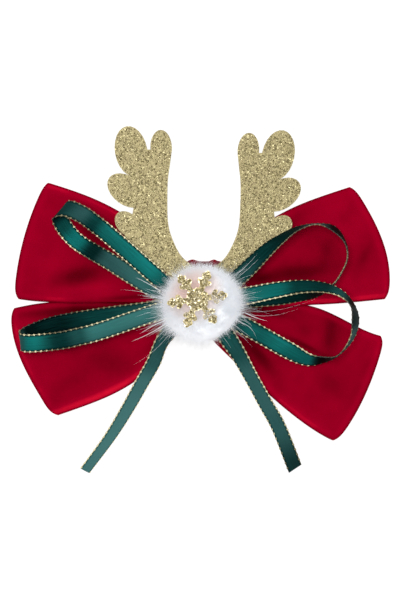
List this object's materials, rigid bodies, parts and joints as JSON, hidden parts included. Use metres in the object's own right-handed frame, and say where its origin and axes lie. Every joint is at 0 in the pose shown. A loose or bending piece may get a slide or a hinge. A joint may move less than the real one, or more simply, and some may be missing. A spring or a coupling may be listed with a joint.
{
  "type": "christmas hair bow",
  "caption": "Christmas hair bow of red velvet loops with gold glitter antlers, a green gold-edged ribbon bow and a white fur ball under a snowflake.",
  "frame": {"origin": "middle of the hair clip's flat underside, on the surface that the bow lies on", "axes": "+X to the viewer's right seen from the front, +Y up towards the antlers' tips, +Z out of the front towards the viewer"},
  "size_m": [0.1408, 0.1291, 0.0473],
  "materials": {
    "velvet": "deep red short-pile velvet",
    "satin": "dark green satin with gold thread along both edges",
    "glitter": "pale gold glitter on foam sheet",
    "fur": "white fluffy fur",
    "steel": "plain bright steel"
  },
  "bodies": {
    "root": {"velvet_loop_upper_left": "velvet", "velvet_loop_lower_left": "velvet", "velvet_loop_upper_right": "velvet", "velvet_loop_lower_right": "velvet", "centre_band": "velvet", "antlers": "glitter", "ribbon_loop_upper_left": "satin", "ribbon_loop_lower_left": "satin", "ribbon_loop_upper_right": "satin", "ribbon_loop_lower_right": "satin", "ribbon_tail_left": "satin", "ribbon_tail_right": "satin", "pompom": "fur", "snowflake": "glitter", "hair_clip": "steel"}
  },
  "joints": []
}
